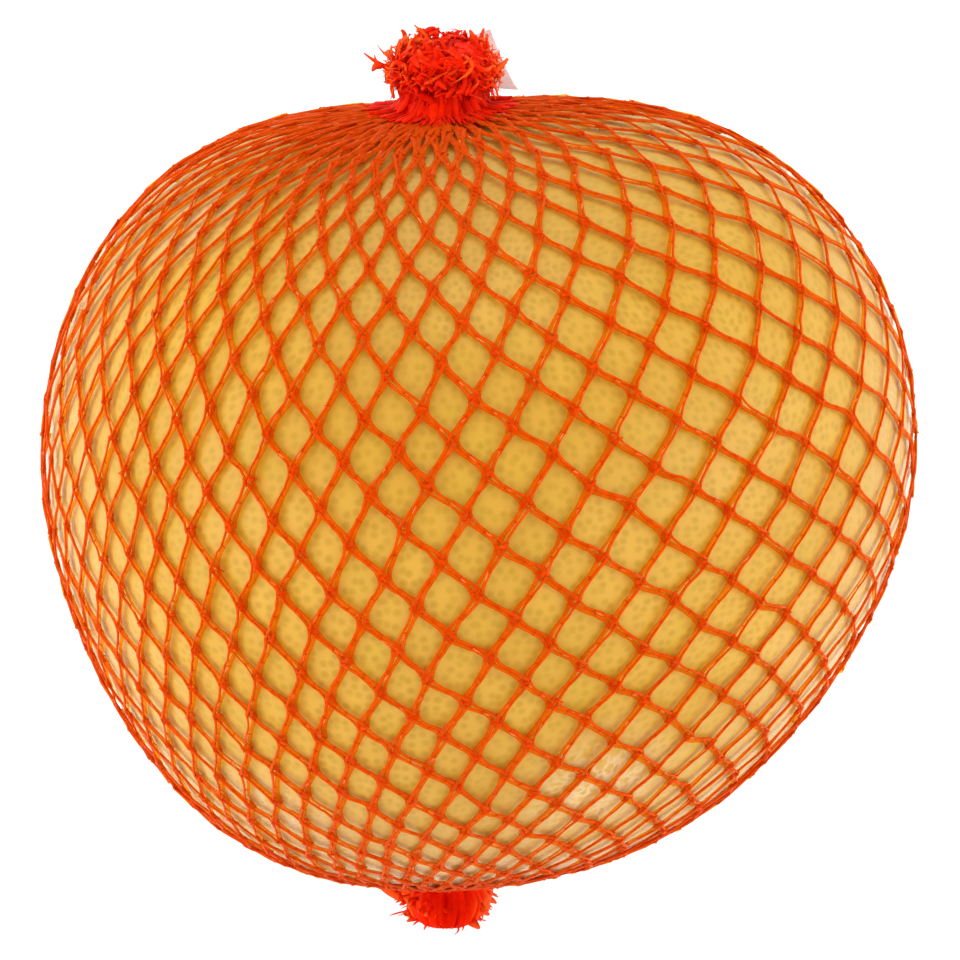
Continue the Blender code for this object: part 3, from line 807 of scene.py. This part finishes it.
def make_stitches(middle, beside, rise, rng, material):
    """Half way along each strand a dark bar across it, and past that a sliver painted pale as a glint.
    """
    count = len(middle)
    centre = STATIONS // 2
    outward = rise[:, centre]
    travel = unit(middle[:, centre + 1] - middle[:, centre])
    across = beside[:, centre]
    slant = rng.normal(0.0, 0.35, (count, 1))
    along = unit(across + travel * slant)
    places = middle[:, centre] + outward * 0.17 * MM + travel * rng.normal(0, 0.35 * MM, (count, 1))
    lengths = rng.uniform(0.8, 1.2, count) * MM
    dark_sizes = (np.full(count, size) for size in STITCH_SIZES)
    dark = short_bars(places, along, outward, lengths, *dark_sizes)
    shown = rng.random(count) < GLINT_SHARE
    number = int(shown.sum())
    step = (rng.uniform(0.5, 0.9, count) * MM)[:, None]
    glint_places = places + travel * step + outward * 0.06 * MM
    glint_places = glint_places + across * rng.normal(0, 0.12 * MM, (count, 1))
    lean = unit(travel + across * rng.normal(0, 0.12, (count, 1)))
    lengths = rng.uniform(0.7, 1.7, count)[shown] * MM
    widths = rng.uniform(0.1, 0.2, count)[shown] * MM
    pale_sizes = (lengths, widths, *(np.full(number, size) for size in GLINT_SIZES))
    pale = short_bars(glint_places[shown], lean[shown], outward[shown], *pale_sizes)
    corners = 3 * len(BAR_SECTION)
    # The slivers are painted highlights, in the painted glint colour.
    bright = np.repeat(rng.uniform(0.45, 1.0, number), corners)
    # The stitch bars are deeper red, partly the doubled yarn and partly painted shade in its crease.
    sets = [(dark, np.full(count * corners, -0.8)), (pale, bright)]
    stitches = joined_piece("net_stitches", sets, material)
    stitches.visible_shadow = False


def make_net():
    """The whole sleeve: its ribbons, knots and stitches."""
    middle, beside, rise, piled, share, rng = net_lines()
    material = cord_finish("net_cord", CORD_COLOUR, CORD_DEEP, CORD_PAINTED_GLINT, CORD_CLEAR)
    make_ribbons(middle, beside, rise, piled, share, rng, material)
    make_knots(middle, beside, rise, rng, material)
    make_stitches(middle, beside, rise, rng, material)


def curled(roots, ways, normals, lengths, sag, wave, roll, rng):
    """Lines that leave their roots along a way, sink back, and snake from side to side.

    A point lies at root + length * (share * way - share squared * sag * normal + snake * side).
    """
    share = np.linspace(0, 1, FIBRE_STATIONS)[None, :, None]
    count = len(roots)
    side = unit(np.cross(ways, normals) + 0.3 * rng.normal(size=ways.shape))[:, None]
    phase = rng.uniform(0, 2 * math.pi, (count, 1, 1))
    snake = np.sin(rng.uniform(2.5, 9, (count, 1, 1)) * share + phase) - np.sin(phase)
    path = share * ways[:, None] - share**2 * sag * normals[:, None] + wave * snake * side
    lines = roots[:, None] + lengths[:, None, None] * path
    travel = unit(np.gradient(lines, axis=1))
    beside = unit(np.cross(travel, normals[:, None]))
    turn = rng.normal(0, roll, (count, 1)) + rng.normal(0, 2 * roll, (count, 1)) * share[..., 0]
    return lines, *rolled(beside, unit(np.cross(beside, travel)), turn)


def fibre_set(lines, beside, rise, widths, thick, tip, rng):
    """Ribbons along those lines, narrowing to tips, toned from painted shade at roots to painted light
    at tips.
    """
    share = np.linspace(0, 1, lines.shape[1])[None]
    taper = (0.75 + 0.35 * np.sin(math.pi * share)) * (1 - (1 - tip) * share**3)
    thicks = np.full(taper.shape, thick) * (0.4 + 0.6 * taper)
    points, faces = swept(lines, beside, rise, widths[:, None] * taper, thicks, BAR_SECTION)
    tone = -0.75 + 1.25 * share**1.3 + rng.normal(0, 0.18, (len(lines), 1))
    return (points, faces), np.repeat(tone.ravel(), len(BAR_SECTION))


def core_solid(rings, lump, rng):
    """A lump turned from rings (radius, right, back, up), pushed in and out by sharp folds.

    Its last value says how far out each point was pushed, from about -1 to 1.
    """
    table = np.array(rings)
    steps = np.linspace(0, len(table) - 1, CORE_RINGS)
    levels = np.arange(len(table))
    radius, right, back, up = (np.interp(steps, levels, part)[:, None] for part in table.T)
    turn = np.arange(CORE_SPOKES)[None] * 2 * math.pi / CORE_SPOKES
    folds = -2.4 + 0 * turn
    for count in (3, 7, 12, 19):
        lean = 1.3 * np.sin(0.6 * steps[:, None] + count) + rng.uniform(0, 6.3)
        folds = folds + 0.95 * np.abs(np.cos(count * turn + lean))
    wide = np.maximum(radius + lump * folds * np.minimum(radius / radius.max(), 1), 0.02 * MM)
    points = np.stack([right + wide * np.cos(turn), back + wide * np.sin(turn), up + 0 * wide], axis=-1)
    ring, spoke = np.meshgrid(np.arange(CORE_RINGS - 1), np.arange(CORE_SPOKES), indexing="ij")
    near = ring * CORE_SPOKES
    far = near + CORE_SPOKES
    after = (spoke + 1) % CORE_SPOKES
    walls = np.stack([near + spoke, near + after, far + after, far + spoke], axis=-1)
    lower = list(range(CORE_SPOKES))[::-1]
    upper = list(range((CORE_RINGS - 1) * CORE_SPOKES, CORE_RINGS * CORE_SPOKES))
    return points, [*walls.reshape(-1, 4).tolist(), lower, upper], folds


def spread_ways(count, low, high, rng, scatter):
    """Unit directions spread evenly over a band of a sphere, from one height to another."""
    height = low + (high - low) * (np.arange(count) + 0.5) / count
    turn = np.arange(count) * math.pi * (3 - math.sqrt(5))
    flat = np.sqrt(1 - height**2)
    ways = np.stack([flat * np.cos(turn), flat * np.sin(turn), height], axis=-1)
    return unit(ways + rng.normal(0, scatter, ways.shape))


def stray_set(strays, foot, rng):
    """Single ribbons through three named places each, as an arc of a parabola, with tones."""
    share = np.linspace(0, 1, FIBRE_STATIONS)[None, :, None]
    places = np.array([stray[:3] for stray in strays]) * MM + np.array([0.0, 0.0, foot])
    first, between, last = (places[:, number][:, None] for number in range(3))
    pull = 2 * between - 0.5 * (first + last)
    lines = (1 - share) ** 2 * first + 2 * share * (1 - share) * pull + share**2 * last
    travel = unit(np.gradient(lines, axis=1))
    beside = unit(np.cross(travel, [0.0, -1.0, 0.25]))
    rise = unit(np.cross(beside, travel))
    widths = np.array([stray[3] for stray in strays]) * MM
    ribbons, tones = fibre_set(lines, beside, rise, widths, 0.25 * MM, 0.35, rng)
    extra = np.repeat([stray[4] for stray in strays], FIBRE_STATIONS * len(BAR_SECTION))
    return ribbons, 0.3 * tones + extra


def neck_lines(count, inner, outer, climb, up, rng):
    """Lines drawn in along the skin towards a gather, then turning away from it up the neck.

    The radius falls from outer to inner with the square of what is left of the line; the
    height is the skin's own plus a climb that grows with the fourth power of the share.
    """
    share = np.linspace(0, 1, FIBRE_STATIONS)[None]
    turn = np.arange(count)[:, None] * 2 * math.pi / count
    turn = turn + rng.normal(0, 0.06, (count, 1)) * (1.5 - share)
    start = outer * rng.uniform(0.7, 1.2, (count, 1))
    radius = inner + (start - inner) * (1 - share) ** 2 + rng.normal(0, 0.12 * MM, share.shape)
    flat = np.stack([radius * np.cos(turn), radius * np.sin(turn), 0 * radius], axis=-1)
    away = unit(flat + np.array([0.0, 0.0, up * abs(up * TOP_END - CENTRE[2])]))
    lines = skin(away, -rng.uniform(0.3, 0.9, (count, 1)) * MM)
    lines[..., 2] += up * climb * share**4 * rng.uniform(0.85, 1.1, (count, 1))
    travel = unit(np.gradient(lines, axis=1))
    outward = unit(unit(flat) + np.array([0.0, 0.0, 0.5 * up]))
    beside = unit(np.cross(travel, outward))
    return lines, *rolled(beside, unit(np.cross(beside, travel)), rng.normal(0, 0.4, (count, 1)))


def head_fibres(middle, radii, sets, rng):
    """Sets of fibres that leave an ellipsoid: some laid along it, some sticking out of it."""
    made = []
    for count, outwards, scatter, lengths, widths, wave, roll, thick, tip in sets:
        normals = spread_ways(count, -0.8, 0.98, rng, 0.15)
        roots = middle + normals * radii
        along = unit(np.cross(normals, rng.normal(size=normals.shape)))
        ways = outwards * normals + (1 - outwards) * along
        ways = unit(ways + scatter * rng.normal(size=normals.shape))
        reach = rng.uniform(*lengths, count)
        lines, beside, rise = curled(roots, ways, normals, reach, 0.3 * (1 - outwards), wave, roll, rng)
        made.append((lines, beside, rise, rng.uniform(*widths, count), thick, tip, rng))
    return made


def make_top_tuft(material):
    """The upper tuft: a folded core, curled ribbons, short spiky fibres, strays and the neck."""
    rng = np.random.default_rng(SEED + 3)
    end = np.array([0.0, 0.0, TOP_END])
    core, walls, folds = core_solid(TOP_CORE, 0.7 * MM, rng)
    piece = new_piece("top_core", core + end, walls, material, ["top_tuft"])
    # Tones: painted shade sinks into the creases of the folds, and the part above 5 mm is a little
    # lighter.
    point_values(piece, "tone", -0.4 + 0.4 * folds + 0.2 * (core[..., 2] > 5 * MM))
    sets = []
    for parts in head_fibres(end + np.array(TOP_MIDDLE), np.array(TOP_RADII), TOP_FIBRE_SETS, rng):
        lines = parts[0]
        lines[..., 2] = np.clip(lines[..., 2], TOP_END + TOP_LOWEST, TOP_END + TOP_HIGHEST)
        ribbons, tones = fibre_set(*parts)
        # Painted light: the fibres are paler higher up and further out to the left and right.
        high = (lines[..., 2] - TOP_END - TOP_MIDDLE[2]) / TOP_RADII[2]
        aside = np.abs(lines[..., 0] - TOP_MIDDLE[0]) / TOP_RADII[0]
        outer = 0.15 * high + 0.75 * aside**2 - 0.4
        sets.append((ribbons, tones + np.repeat(outer.ravel(), len(BAR_SECTION))))
    sets.append(stray_set(TOP_STRAYS, TOP_END, rng))
    lines, beside, rise = neck_lines(*TOP_NECK, rng)
    widths = rng.uniform(0.4, 1.1, len(lines)) * MM
    neck, tones = fibre_set(lines, beside, rise, widths, 0.3 * MM, 0.7, rng)
    # The neck fibres take these tones turned round: deep red, darkest where they climb into the neck.
    sets.append((neck, -1.0 - 0.75 * tones))
    joined_piece("top_tuft_fibres", sets, material, ["top_tuft"])


def make_foot_tuft(material):
    """The lower tuft: squashed forwards on the floor, deep red, with a frayed orange rim."""
    rng = np.random.default_rng(SEED + 4)
    core, walls, folds = core_solid(FOOT_CORE, 0.45 * MM, rng)
    core[..., 2] = np.maximum(core[..., 2], FLOOR_GAP)
    piece = new_piece("foot_core", core, walls, material, ["bottom_tuft"])
    # Tones: painted shade in the creases of the folds, and painted light towards the left and right
    # sides.
    edge = np.abs(core[..., 0] - 0.6 * MM) / (8 * MM)
    point_values(piece, "tone", -0.45 + 0.3 * folds + 1.5 * edge**2)
    sets = []
    for count, lengths, widths, heights in FOOT_FIBRE_SETS:
        turn = (np.arange(count) + rng.uniform(-0.4, 0.4, count)) * 2 * math.pi / count
        outward = np.stack([np.cos(turn), np.sin(turn), np.zeros(count)], axis=-1)
        height = rng.uniform(*heights, count)
        share = (height / (5 * MM))[:, None]
        reach = FOOT_REACH[0] + share * FOOT_REACH[1]
        roots = np.array(FOOT_FRONT) * (1 - share) + outward * reach
        roots[:, 2] = height
        shown = rng.random(count) < np.clip(1.15 + 1.2 * outward[:, 1], 0.25, 1)
        ways = unit(outward + rng.normal(0, 0.3, (count, 3)) * (1, 1, 0.5) - (0, 0, 0.35))
        parts = (roots[shown], ways[shown], np.tile([0.0, 0.0, 1.0], (int(shown.sum()), 1)))
        reach = rng.uniform(*lengths, count)[shown]
        lines, beside, rise = curled(*parts, reach, 0.1, 0.08, 0.5, rng)
        lines[..., 2] = np.maximum(lines[..., 2], FOOT_LOWEST)
        wide = rng.uniform(*widths, count)[shown]
        ribbons, tones = fibre_set(lines, beside, rise, wide, 0.22 * MM, 0.3, rng)
        sets.append((ribbons, tones + 0.3))
    sets.append(stray_set(FOOT_STRAYS, 0.0, rng))
    lines, beside, rise = neck_lines(*FOOT_NECK, rng)
    widths = rng.uniform(0.6, 1.2, len(lines)) * MM
    neck, tones = fibre_set(lines, beside, rise, widths, 0.25 * MM, 0.7, rng)
    sets.append((neck, -0.1 - 0.3 * tones))
    for (places, _), _ in sets:
        np.maximum(places[..., 2], FLOOR_GAP, out=places[..., 2])
    joined_piece("foot_tuft_fibres", sets, material, ["bottom_tuft"])


def make_tie(name, node, form, base, material):
    """A band wound a few times round the neck: a flat ribbon along a rising helix."""
    radius = form[0]
    low = base + form[1]
    high = base + form[2]
    share = np.linspace(0, 1, TIE_TURNS * TIE_STEPS + 1)
    turn = share * TIE_TURNS * 2 * math.pi
    swell = radius + 0.15 * MM * np.sin(5 * turn)
    height = low + (high - low) * share
    lines = np.stack([swell * np.cos(turn), swell * np.sin(turn), height], axis=-1)[None]
    rise = np.stack([np.cos(turn), np.sin(turn), 0 * turn], axis=-1)[None]
    beside = np.broadcast_to(np.array([0.0, 0.0, 1.0]), rise.shape)
    widths = np.full(turn.shape, TIE_WIDTH)[None]
    thicks = np.full(turn.shape, TIE_THICK)[None]
    points, faces = swept(lines, -beside, rise, widths, thicks, BAR_SECTION)
    piece = new_piece(name, points, faces, material, [node])
    point_values(piece, "tone", np.full(points.size // 3, -0.5))


def make_strip():
    """The blank milky strip: round the back of the neck, then straight out to the right.

    Its lower edge climbs a little; its height grows to the right; its free end is slanted.
    """
    steps_along, steps_across = STRIP_STEPS
    places_along = np.linspace(0, 1, steps_along + 1)
    places_across = np.linspace(0, 1, steps_across + 1)
    along, across = np.meshgrid(places_along, places_across, indexing="ij")
    turned = np.minimum(along / STRIP_ARC_SHARE, 1)
    turn = np.radians(STRIP_START + (STRIP_LEAVE - STRIP_START) * turned)
    leave = math.radians(STRIP_LEAVE)
    end_right = STRIP_END_LOW + (STRIP_END_HIGH - STRIP_END_LOW) * across**0.85
    straight = np.maximum(along - STRIP_ARC_SHARE, 0) / (1 - STRIP_ARC_SHARE)
    straight = straight * (end_right - STRIP_RADIUS * math.cos(leave)) / math.sin(leave)
    width = STRIP_WIDTH[0] + (STRIP_WIDTH[1] - STRIP_WIDTH[0]) * along**0.8
    x = STRIP_RADIUS * np.cos(turn) + straight * math.sin(leave)
    y = STRIP_RADIUS * np.sin(turn) - straight * math.cos(leave)
    y = y + 0.5 * MM * np.sin(5 * across + 2) * straight / (10 * MM)
    z = TOP_END + STRIP_LOW + width * across + 0.25 * MM * np.sin(4 * along)
    points = np.stack([x, y, z], axis=-1)
    row, column = np.meshgrid(np.arange(steps_along), np.arange(steps_across), indexing="ij")
    first = row * (steps_across + 1) + column
    next_row = first + steps_across + 1
    quads = np.stack([first, first + 1, next_row + 1, next_row], axis=-1).reshape(-1, 4).tolist()
    strip = new_piece("strip_sheet", points, quads, strip_finish(), ["film_strip"])
    point_values(strip, "tone", across * along)
    wall = strip.modifiers.new("wall", "SOLIDIFY")
    wall.thickness = STRIP_WALL
    wall.offset = 0.0


def area_light(name, place, size, power):
    """A square soft white light at a place, turned towards the fruit's centre."""
    lamp = bpy.data.lights.new(name, "AREA")
    lamp.shape = "SQUARE"
    lamp.size = size
    lamp.energy = power
    made = bpy.data.objects.new(name, lamp)
    made.location = place
    made.rotation_euler = (Vector(CENTRE) - Vector(place)).to_track_quat("-Z", "Y").to_euler()
    bpy.context.scene.collection.objects.link(made)


def make_stage():
    """A wide pale floor, a white surround, and soft lights left, right and above."""
    mesh = bpy.data.meshes.new("floor")
    half = FLOOR_HALF
    corners = [(-half, -half, 0), (half, -half, 0), (half, half, 0), (-half, half, 0)]
    mesh.from_pydata(corners, [], [(0, 1, 2, 3)])
    pale = Finish("floor")
    grain = pale.noise(pale.place(), 4 * MM)
    inputs = {
        "Base Color": pale.blend(grain, *FLOOR_GREYS),
        "Roughness": 0.8,
        "Emission Color": (1.0, 1.0, 1.0, 1.0),
        "Emission Strength": FLOOR_GLOW,
    }
    mesh.materials.append(pale.done(pale.add("ShaderNodeBsdfPrincipled", None, inputs)))
    floor = bpy.data.objects.new("floor", mesh)
    bpy.context.scene.collection.objects.link(floor)
    world = bpy.data.worlds.new("tent")
    world.use_nodes = True
    background = world.node_tree.nodes["Background"]
    background.inputs["Color"].default_value = (1.0, 1.0, 1.0, 1.0)
    background.inputs["Strength"].default_value = SURROUND
    scene = bpy.context.scene
    scene.world = world
    for lamp in LAMPS:
        area_light(*lamp)
    scene.view_settings.view_transform = "Standard"
    scene.cycles.max_bounces = 4
    scene.cycles.diffuse_bounces = 3
    scene.cycles.glossy_bounces = 1
    scene.cycles.transparent_max_bounces = 6


def make_camera():
    """A long lens that looks a little down at the front of the fruit."""
    lens = bpy.data.cameras.new("camera")
    lens.sensor_width = SENSOR
    lens.lens = SENSOR * CAMERA_DISTANCE / (PIXELS * PIXEL_SIZE)
    camera = bpy.data.objects.new("camera", lens)
    view = Vector(VIEW)
    target = Vector(CENTRE) + Vector((AIM_RIGHT, 0.0, 0.0)) + Vector(PICTURE_UP) * AIM_UP
    camera.location = target - view * CAMERA_DISTANCE
    camera.rotation_euler = view.to_track_quat("-Z", "Y").to_euler()
    lens.clip_end = 20.0
    bpy.context.scene.collection.objects.link(camera)
    bpy.context.scene.camera = camera


make_camera()
make_stage()
make_fruit()
make_film()
make_net()

fibre = cord_finish("tuft_fibre", FIBRE_COLOUR, FIBRE_DEEP, FIBRE_PAINTED_LIGHT, 0.0)
band = cord_finish("tie_band", BAND_COLOUR, FIBRE_DEEP, FIBRE_PAINTED_LIGHT, 0.0)
make_top_tuft(fibre)
make_foot_tuft(fibre)
make_tie("top_wound_tie", "top_tie", TOP_TIE, TOP_END, band)
make_tie("foot_wound_tie", "bottom_tie", FOOT_TIE, 0.0, band)
make_strip()
